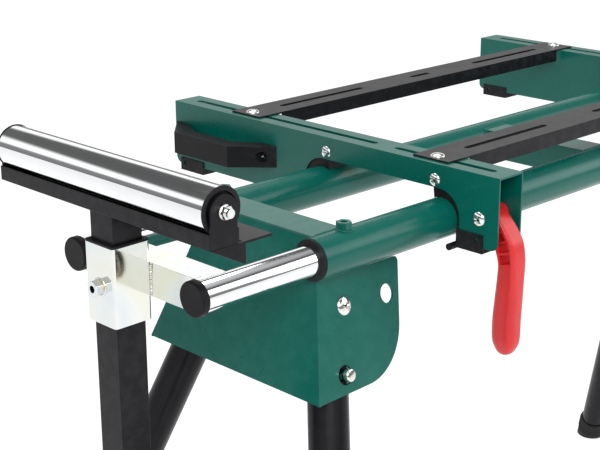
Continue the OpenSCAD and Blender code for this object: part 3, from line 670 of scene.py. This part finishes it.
def islandBoxes(nodeName):
    shape = bmesh.new()
    shape.from_mesh(frame["nodes"][nodeName].data)
    bmesh.ops.remove_doubles(shape, verts=shape.verts, dist=2e-6)
    boxes, seen = [], set()
    for start in shape.verts:
        if start in seen:
            continue
        seen.add(start)
        todo, members = [start], []
        while todo:
            vert = todo.pop()
            members.append(vert.co.copy())
            for edge in vert.link_edges:
                other = edge.other_vert(vert)
                if other not in seen:
                    seen.add(other)
                    todo.append(other)
        boxes.append((Vector(map(min, zip(*members))), Vector(map(max, zip(*members)))))
    shape.free()
    return boxes


def pointsOf(boxes, seat, normal):
    # where a fastener's seat lies: the middle of each box, moved along the normal onto the seat plane
    picks = []
    for low, high in boxes:
        centre = (low + high) / 2
        centre[normal] = seat
        picks.append(centre)
    return picks


pivotBolt = {"Head Radius": 12 * mm, "Head Height": 4.4 * mm, "Recess": 5.2 * mm, "Shank Radius": 4 * mm,
    "Shank Length": 64 * mm,
             "Grip": 54.6 * mm, "Washer Radius": 9 * mm, "Washer": 1.5 * mm, "Nut Size": 13 * mm,
                 "Nut Height": 7 * mm}
leverBolt = {"Head Radius": 9.5 * mm, "Head Height": 4.8 * mm, "Recess": 4.4 * mm, "Shank Radius": 4 * mm,
    "Shank Length": 55 * mm,
             "Grip": 47 * mm, "Washer Radius": 7 * mm, "Washer": 0.4 * mm, "Nut Size": 13 * mm,
                 "Nut Height": 6.1 * mm}
saddleScrew = {"Head Radius": 8.5 * mm, "Head Height": 3.8 * mm, "Recess": 3.8 * mm, "Shank Radius": 3 * mm,
    "Shank Length": 53 * mm,
               "Pitch": 1 * mm, "Grip": 47 * mm, "Washer Radius": 6 * mm, "Washer": 0.3 * mm,
                   "Nut Size": 10 * mm, "Nut Height": 4.8 * mm}
railBolt = {"Head Radius": 10 * mm, "Head Height": 4.3 * mm, "Shank Radius": 4 * mm,
    "Shank Length": 15.7 * mm,
            "Grip": 4.9 * mm, "Washer Radius": 10 * mm, "Washer": 2 * mm, "Nut Size": 13 * mm,
                "Nut Height": 6.9 * mm}
handleScrew = {"Head Radius": 6 * mm, "Head Height": 4 * mm, "Recess": 3 * mm, "Shank Radius": 3 * mm,
    "Shank Length": 9 * mm,
               "Pitch": 1 * mm, "Grip": 7 * mm, "Washer Radius": 4 * mm, "Washer": 0.5 * mm,
                   "Nut Size": 6 * mm, "Nut Height": 1 * mm}
legToCheek = 28.8 * mm
beamFace = {side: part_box(side + "_beam")[0].x for side in sides}
pivots, pivotFacing, leverPoints = [], [], []
for joint in frame["joints"]:
    place = Vector(joint.get("pos_m") or (0, 0, 0))
    if joint["name"].endswith("_leg_fold"):
        axis = Vector(joint["axis"]).normalized()
        axis = axis if axis.y * place.y > 0 else -axis
        pivots.append(place + axis * legToCheek)
        pivotFacing.append(axis)
    if joint["name"].endswith("_lever_release"):
        leverPoints.append(Vector((beamFace[joint["name"].split("_")[0]], place.y, place.z)))
saddlePoints = []
for low, high in islandBoxes("saddle_screws"):
    side = "left" if low.x < 0 else "right"
    saddlePoints.append(Vector((beamFace[side], (low.y + high.y) / 2, (low.z + high.z) / 2)))
handlePoints = pointsOf(islandBoxes("handle_screws"), beamFace["left"] - 9 * mm, 0)
toLeft, upward = Vector((-1, 0, 0)), Vector((0, 0, 1))
for name, tree, values, points, facing, nodeName in (
        ("pivotBolts", crossHead, pivotBolt, pivots, pivotFacing, "leg_pivot_bolts"),
        ("leverBolts", crossHead, leverBolt, leverPoints, [toLeft] * 2, "lever_bolts"),
        ("saddleScrews", crossHead, saddleScrew, saddlePoints, [toLeft] * len(saddlePoints), "saddle_screws"),
        ("handleScrews", crossHead, handleScrew, handlePoints, [toLeft] * len(handlePoints),
            "handle_screws")):
    putOn(toolPiece(name, points, [], tree, values, zincPlate, facing), [nodeName])
for row in ("rear", "front"):
    boxes = islandBoxes(row + "_rail_bolts")
    points = pointsOf(boxes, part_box(row + "_rail")[1].z, 2)
    putOn(toolPiece(row + "RailBolts", points, [], plainHead, railBolt, zincPlate, [upward] * len(points)),
        [row + "_rail_bolts"])
print("fasteners set:", len(pivots) + len(leverPoints) + len(saddlePoints) + len(handlePoints) + 4)


# Weld beads

tubeBoxes = {row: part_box(row + "_tube") for row in ("front", "rear")}
tubeAxis = {row: ((low.y + high.y) / 2, (low.z + high.z) / 2) for row, (low, high) in tubeBoxes.items()}
tubeR = (tubeBoxes["front"][1].z - tubeBoxes["front"][0].z) / 2
tubeEnd = {"left": tubeBoxes["front"][0].x, "right": tubeBoxes["front"][1].x}
inwardOf = {"front": 1, "rear": -1}
outOf = {"left": -1, "right": 1}


def joinRuns(runs):
    points, edges = [], []
    for line, closed in runs:
        start = len(points)
        points += line
        edges += [(start + i, start + i + 1) for i in range(len(line) - 1)]
        if closed:
            edges.append((len(points) - 1, start))
    return points, edges


def tubeArc(x, axisY, axisZ, r, side, zFrom, zTo, steps=18):
    # a line on the round of a tube at one x, on its given side
    line = []
    for i in range(steps + 1):
        z = zFrom + (zTo - zFrom) * i / steps
        line.append(Vector((x, axisY + side * sqrt(r * r - z * z), axisZ + z)))
    return line


def ringRun(centre, axis, r, steps=36):
    u = axis.orthogonal().normalized()
    v = axis.cross(u)
    return [centre + r * (cos(2 * pi * i / steps) * u + sin(2 * pi * i / steps) * v) for i in range(steps)], True


weldSizes = {"bar": 1.7 * mm, "frame": 1.6 * mm, "nut": 1.3 * mm}
for side in sides:
    low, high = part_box(side + "_crossbar")
    slideLow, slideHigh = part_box(side + "_slide_tubes")
    slideR = (slideHigh.z - slideLow.z) / 2
    axisZ = (low.z + high.z) / 2
    runs = []
    for row, axisY in (("front", low.y), ("rear", high.y)):
        reach = slideR * 0.97
        first = tubeArc(low.x - 0.3 * mm, axisY, axisZ, slideR + 0.5 * mm, inwardOf[row], reach, -reach)
        second = tubeArc(high.x + 0.3 * mm, axisY, axisZ, slideR + 0.5 * mm, inwardOf[row], -reach, reach)
        runs.append((first + second, True))
    sleeveLow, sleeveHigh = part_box(side + "_sleeve")
    faceX = low.x if side == "left" else high.x
    for y in (sleeveLow.y + 0.6 * mm, sleeveHigh.y - 0.6 * mm):
        runs.append(([Vector((faceX, y, low.z + t * (high.z - low.z))) for t in (0.03, 0.5, 0.97)], False))
    for z in (low.z - 0.4 * mm, high.z + 0.4 * mm):
        runs.append(([Vector((faceX + outOf[side] * 0.2 * mm, sleeveLow.y + 3 * mm + t * 45 * mm,
            z)) for t in (0, 0.5, 1)], False))
    points, edges = joinRuns(runs)
    bead = toolPiece(side + "BarWelds", points, edges, weldRun, {"Radius": weldSizes["bar"]}, weldMetal)
    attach(bead, side + "_extension_slide")
    nutLow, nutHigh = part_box(side + "_sleeve_nut")
    centre = (nutLow + nutHigh) / 2
    centre.x = nutHigh.x if side == "left" else nutLow.x
    points, edges = joinRuns([ringRun(centre, Vector((1, 0, 0)), (nutHigh.z - nutLow.z) / 2 - 0.1 * mm)])
    bead = toolPiece(side + "NutWeld", points, edges, weldRun, {"Radius": weldSizes["nut"]}, weldMetal)
    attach(bead, side + "_extension_slide")

greenRuns = []
for low, high in islandBoxes("tube_nuts"):
    centre = (low + high) / 2
    axisY, axisZ = tubeAxis["front" if abs(centre.y - tubeAxis["front"][0]) < tubeR else "rear"]
    line, closed = ringRun(centre, upward, (high.x - low.x) / 2 - 0.2 * mm)
    greenRuns.append(([Vector((p.x, p.y, axisZ + sqrt(tubeR ** 2 - (p.y - axisY) ** 2) + 0.2 * mm)) for p in line], closed))
memberLow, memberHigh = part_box("middle_member")
for row, (axisY, axisZ) in tubeAxis.items():
    topZ, lowZ = memberHigh.z - axisZ, memberLow.z - axisZ
    first = tubeArc(memberLow.x, axisY, axisZ, tubeR + 0.4 * mm, inwardOf[row], lowZ, topZ)
    second = tubeArc(memberHigh.x, axisY, axisZ, tubeR + 0.4 * mm, inwardOf[row], topZ, lowZ)
    greenRuns.append((first + second, False))
    for side in sides:
        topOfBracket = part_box(side + "_bracket")[1].z - axisZ
        y = axisY + inwardOf[row] * (sqrt(tubeR ** 2 - topOfBracket ** 2) + 0.6 * mm)
        greenRuns.append(([Vector((tubeEnd[side] - outOf[side] * x * mm, y,
            axisZ + topOfBracket)) for x in (22, 40, 62)], False))
    y, z = axisY - inwardOf[row] * 5.2 * mm, axisZ - tubeR + 0.2 * mm
    greenRuns.append(([Vector((tubeEnd["left"] + x * mm, y, z)) for x in (5, 30, 58)], False))
points, edges = joinRuns(greenRuns)
bead = toolPiece("frameWelds", points, edges, weldRun, {"Radius": weldSizes["frame"], "Ripple": 0.16},
    greenPaint)
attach(bead, "stand_frame")
print("weld runs:", len(greenRuns))


# Rubber boots: raised rings round each

bootRibs = {"Spacing": 7 * mm, "Ring Radius": 28.4 * mm, "Thickness": 1.1 * mm}
for corner in corners:
    low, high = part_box(corner + "_leg")
    joint = next(j for j in frame["joints"] if j["name"] == corner + "_leg_fold")
    top = Vector(joint["pos_m"])
    footLow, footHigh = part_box(corner + "_foot")
    sole = Vector(next(m["pos_m"] for m in frame["record"]["mounts"] if m["name"] == corner + "_foot_sole"))
    along = (top - sole).normalized()
    line = [sole + along * 24 * mm, sole + along * 47 * mm]
    ribs = toolPiece(corner + "Ribs", line, [(0, 1)], ribStack, bootRibs, feetRubber)
    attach(ribs, corner + "_leg_assembly")
print("boot ribs on", len(corners), "boots")


# Clamp levers: lofted grip, hub, and a ribbed pocket in each side of the neck

lever = {
    "front": [(-170, 27), (-186, 17), (-200, 1), (-211, -15), (-216, -37), (-217, -62), (-217, -90),
        (-216, -120), (-216, -144),
              (-213, -155), (-208, -162.5), (-202, -165.5)],
    "rear": [(-156, 6), (-171, -4), (-180, -13), (-185, -25), (-190, -44), (-188, -62), (-184.5, -90),
        (-182, -120), (-182, -144),
             (-185, -155), (-190, -162.5), (-196, -165.5)],
    "half": [12, 13, 14, 14, 14, 13.6, 13.6, 14, 13.6, 11.5, 8.5, 4.5],
    "square": [9, 9, 9, 8, 6, 4.2, 3.4, 3.2, 3.0, 2.8, 2.6, 2.4],
    "hub": (13, 20.5), "cells": ((1.25, 1.85), (2.0, 2.6), (2.75, 3.35), (3.5, 4.05)),
        "cellSide": (0.2, 0.8), "cellDepth": 8.5,
}


def smoothAt(values, t):
    # a curve through evenly spaced values
    last = len(values) - 1
    i = min(int(t), last - 1)
    f = t - i
    a, b, c, d = (values[min(max(k, 0), last)] for k in (i - 1, i, i + 1, i + 2))
    return tuple(0.5 * (2 * q + (r - p) * f + (2 * p - 5 * q + 4 * r - s) * f * f + (3 * q - p - 3 * r + s) * f ** 3)
                 for p, q, r, s in zip(a, b, c, d))


def signedPower(value, power):
    return (1 if value > 0 else -1) * abs(value) ** power


def leverStation(t):
    front, rear = Vector(smoothAt(lever["front"], t)), Vector(smoothAt(lever["rear"], t))
    half = smoothAt([(v,) for v in lever["half"]], t)[0]
    square = smoothAt([(v,) for v in lever["square"]], t)[0]
    return front, rear, half, square


def loftShape(rings):
    shape = bmesh.new()
    rows = [[shape.verts.new(p) for p in ring] for ring in rings]
    count = len(rows[0])
    for a, b in zip(rows, rows[1:]):
        for i in range(count):
            shape.faces.new((a[i], a[(i + 1) % count], b[(i + 1) % count], b[i]))
    shape.faces.new(list(reversed(rows[0])))
    shape.faces.new(rows[-1])
    bmesh.ops.recalc_face_normals(shape, faces=shape.faces)
    return shape


def booleanWith(piece, shape, operation):
    cutter = keepMesh(piece.name + "_cut", shape, piece.data.materials[0])
    step = piece.modifiers.new("shape", "BOOLEAN")
    step.object, step.operation, step.solver = cutter, operation, "EXACT"
    step.use_self = True
    bakeModifiers(piece)
    mesh = cutter.data
    bpy.data.objects.remove(cutter)
    bpy.data.meshes.remove(mesh)


def prismShape(outlines):
    # closed blocks, each a loop of points and the vector it is drawn out by
    shape = bmesh.new()
    for loop, span in outlines:
        base = [shape.verts.new(p) for p in loop]
        top = [shape.verts.new(Vector(p) + span) for p in loop]
        count = len(loop)
        for i in range(count):
            shape.faces.new((base[i], base[(i + 1) % count], top[(i + 1) % count], top[i]))
        shape.faces.new(list(reversed(base)))
        shape.faces.new(top)
    bmesh.ops.recalc_face_normals(shape, faces=shape.faces)
    return shape


def roundShape(centre, axis, length, r, steps=64, lip=0.8 * mm):
    u = axis.orthogonal().normalized()
    v = axis.cross(u)
    rings = []
    for place, radius in ((-length / 2, r - lip), (-length / 2 + lip, r), (length / 2 - lip, r),
        (length / 2, r - lip)):
        rings.append([centre + axis * place + radius * (cos(2 * pi * i / steps) * u + sin(2 * pi * i / steps) * v) for i in range(steps)])
    return loftShape(rings)


def makeLever(side):
    beamLow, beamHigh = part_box(side + "_beam")
    axisZ = tubeAxis["front"][1]
    origin = Vector(((beamLow.x + beamHigh.x) / 2, (tubeAxis["front"][0] + tubeAxis["rear"][0]) / 2, axisZ))
    at = lambda x, y, z: origin + Vector((x, y, z)) * mm
    rings = []
    steps = 7
    stations = len(lever["front"]) - 1
    for k in range(stations * steps + 1):
        front, rear, half, square = leverStation(k / steps)
        centre, reach = (front + rear) / 2, (front - rear) / 2
        ring = []
        for i in range(56):
            c, s = signedPower(cos(2 * pi * i / 56), 2 / square), signedPower(sin(2 * pi * i / 56),
                2 / square)
            ring.append(at(half * s, centre.x + reach.x * c, centre.y + reach.y * c))
        rings.append(ring)
    piece = keepMesh(side + "Lever", loftShape(rings), redPlastic)
    hubR, hubHalf = lever["hub"]
    pivot = Vector(next(j["pos_m"] for j in frame["joints"] if j["name"] == side + "_lever_release"))
    booleanWith(piece, roundShape(pivot, Vector((1, 0, 0)), 2 * hubHalf * mm, hubR * mm), "UNION")
    cells = []
    near, far = lever["cellSide"]
    for face in (-1, 1):
        for start, end in lever["cells"]:
            loop = []
            for t, share in [(start + (end - start) * i / 4,
                near) for i in range(5)] + [(end - (end - start) * i / 4, far) for i in range(5)]:
                front, rear, half, square = leverStation(t)
                spot = front.lerp(rear, share)
                loop.append(at(face * 16, spot.x, spot.y))
            cells.append((loop, Vector((-face * lever["cellDepth"] * mm, 0, 0))))
    booleanWith(piece, prismShape(cells), "DIFFERENCE")
    booleanWith(piece, roundShape(pivot, Vector((1, 0, 0)), 0.06, 4.05 * mm), "DIFFERENCE")
    shadeByAngle(piece, 35)
    bakeModifiers(piece)
    putOn(piece, [side + "_lever"])


for side in sides:
    makeLever(side)
print("levers lofted")


# Carrying handle: one bow with rounded corners and two sunk screws

handleSpec = {"outer": [(1, 193, 0), (-63, 236, 16), (-63, 368, 16), (1, 411, 0)],
    "inner": [(1, 381, 0), (-39, 351, 16), (-39, 253, 16), (1, 223, 0)],
              "edge": 4.5, "sink": 7.5, "hole": 3.0, "sinkTo": 9.0}


def roundedLoop(corners, steps=10):
    points = []
    count = len(corners)
    for i, (x, y, r) in enumerate(corners):
        here = Vector((x, y))
        if r == 0:
            points.append(here)
            continue
        back = (Vector(corners[i - 1][:2]) - here).normalized()
        ahead = (Vector(corners[(i + 1) % count][:2]) - here).normalized()
        half = acos(max(-1, min(1, back.dot(ahead)))) / 2
        centre = here + (back + ahead).normalized() * r / sin(half)
        first, last = here + back * r / tan(half) - centre, here + ahead * r / tan(half) - centre
        for k in range(steps + 1):
            points.append(centre + first.slerp(last, k / steps))
    return points


def makeHandle():
    low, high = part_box("handle")
    centreY = (tubeAxis["front"][0] + tubeAxis["rear"][0]) / 2
    face = beamFace["left"]
    outline = [Vector((face + p.x * mm, centreY + p.y * mm,
        low.z)) for p in roundedLoop(handleSpec["outer"] + handleSpec["inner"])]
    outline = [Vector((min(p.x, face - 0.02 * mm), p.y, p.z)) for p in outline]
    shape = prismShape([(outline, Vector((0, 0, high.z - low.z)))])
    rims = [e for e in shape.edges if len(e.link_faces) == 2 and e.calc_face_angle(0) > radians(60)
            and abs(e.verts[0].co.z - e.verts[1].co.z) < 1e-6 and min(v.co.x for v in e.verts) < face - 1 * mm]
    bmesh.ops.bevel(shape, geom=rims, offset=handleSpec["edge"] * mm, segments=5, profile=0.5,
        affect="EDGES", clamp_overlap=True)
    piece = keepMesh("carryHandle", shape, blackPlastic)
    for point in handlePoints:
        place = Vector((face - (handleSpec["sinkTo"] + 40) * mm, point.y, point.z))
        booleanWith(piece, roundShape(place, Vector((1, 0, 0)), 80 * mm, handleSpec["sink"] * mm, 48,
            0.01 * mm), "DIFFERENCE")
    shadeByAngle(piece, 35)
    bakeModifiers(piece)
    putOn(piece, ["handle"])


makeHandle()
print("handle made")


# Floor, light and camera

studio = {
    "floorSize": 60.0, "floorColour": (0.3, 0.3, 0.3, 1), "floorGlow": 0.82,
    "keySize": (2.6, 1.6), "keyPower": 75.0, "keyPlace": (-2.2, -2.4, 3.0),
    "fillSize": (2.4, 2.4), "fillPower": 34.0, "fillPlace": (2.6, -2.2, 2.4),
    "topSize": (3.0, 1.4), "topPower": 48.0, "topPlace": (0.2, 1.2, 3.6),
}


def addFloor():
    mesh = bpy.data.meshes.new("floor")
    half = studio["floorSize"] / 2
    mesh.from_pydata([(-half, -half, 0), (half, -half, 0), (half, half, 0), (-half, half, 0)], [],
        [(0, 1, 2, 3)])
    floor = bpy.data.objects.new("floor", mesh)
    bpy.context.scene.collection.objects.link(floor)
    material, tree, shader = newMaterial("paleFloor", {"Roughness": 0.8,
        "Base Color": studio["floorColour"], "Specular IOR Level": 0.1,
                                                       "Emission Color": (1, 1, 1, 1),
                                                           "Emission Strength": studio["floorGlow"]})
    mesh.materials.append(material)


def addLight(name, place, size, power, target):
    data = bpy.data.lights.new(name, "AREA")
    data.shape = "RECTANGLE"
    data.size, data.size_y, data.energy = size[0], size[1], power
    lamp = bpy.data.objects.new(name, data)
    lamp.location = place
    lamp.rotation_euler = (Vector(target) - Vector(place)).to_track_quat("-Z", "Y").to_euler()
    bpy.context.scene.collection.objects.link(lamp)


def addWorld():
    # white near the horizon, a darker band higher up and a bright ceiling
    world = bpy.data.worlds.new("studioRoom")
    world.use_nodes = True
    bpy.context.scene.world = world
    tree = world.node_tree
    back = tree.nodes["Background"]
    direction = addNode(tree, "ShaderNodeTexCoord").outputs["Generated"]
    height = addNode(tree, "ShaderNodeSeparateXYZ", {0: direction}).outputs["Z"]
    ramp = addNode(tree, "ShaderNodeValToRGB", {0: height})
    stops = [(0.0, 0.3), (0.2, 0.4), (0.27, 1.8), (0.42, 1.8), (0.52, 0.2), (0.68, 0.15), (0.80, 1.0),
        (1.0, 1.2)]
    points = ramp.color_ramp.elements
    points[0].position, points[0].color = stops[0][0], (stops[0][1],) * 3 + (1,)
    points[1].position, points[1].color = stops[-1][0], (stops[-1][1],) * 3 + (1,)
    for place, level in stops[1:-1]:
        points.new(place).color = (level,) * 3 + (1,)
    tree.links.new(ramp.outputs["Color"], back.inputs["Color"])
    back.inputs["Strength"].default_value = 0.7


def addCamera():
    view = {"lens": 83.55, "azimuth": -44.368, "elevation": 17.864, "roll": -0.286, "distance": 1.988,
            "aimFromBeam": (0.0, 0.063, -0.100)}
    low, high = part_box("left_beam")
    aim = (low + high) / 2 + Vector(view["aimFromBeam"])
    a, e = radians(view["azimuth"]), radians(view["elevation"])
    back = Vector((sin(a) * cos(e), -cos(a) * cos(e), sin(e)))
    data = bpy.data.cameras.new("camera")
    data.lens, data.sensor_width, data.clip_start, data.clip_end = view["lens"], 36.0, 0.05, 100.0
    camera = bpy.data.objects.new("camera", data)
    turn = (-back).to_track_quat("-Z", "Y").to_matrix() @ Matrix.Rotation(radians(view["roll"]), 3, "Z")
    camera.matrix_world = Matrix.Translation(aim + back * view["distance"]) @ turn.to_4x4()
    bpy.context.scene.collection.objects.link(camera)
    bpy.context.scene.camera = camera


addFloor()
addWorld()
middle = (cadBox[0] + cadBox[1]) / 2
for name in ("key", "fill", "top"):
    addLight(name + "Light", studio[name + "Place"], studio[name + "Size"], studio[name + "Power"], middle)
addCamera()
bpy.context.scene.view_settings.view_transform = "Standard"
print("studio ready")
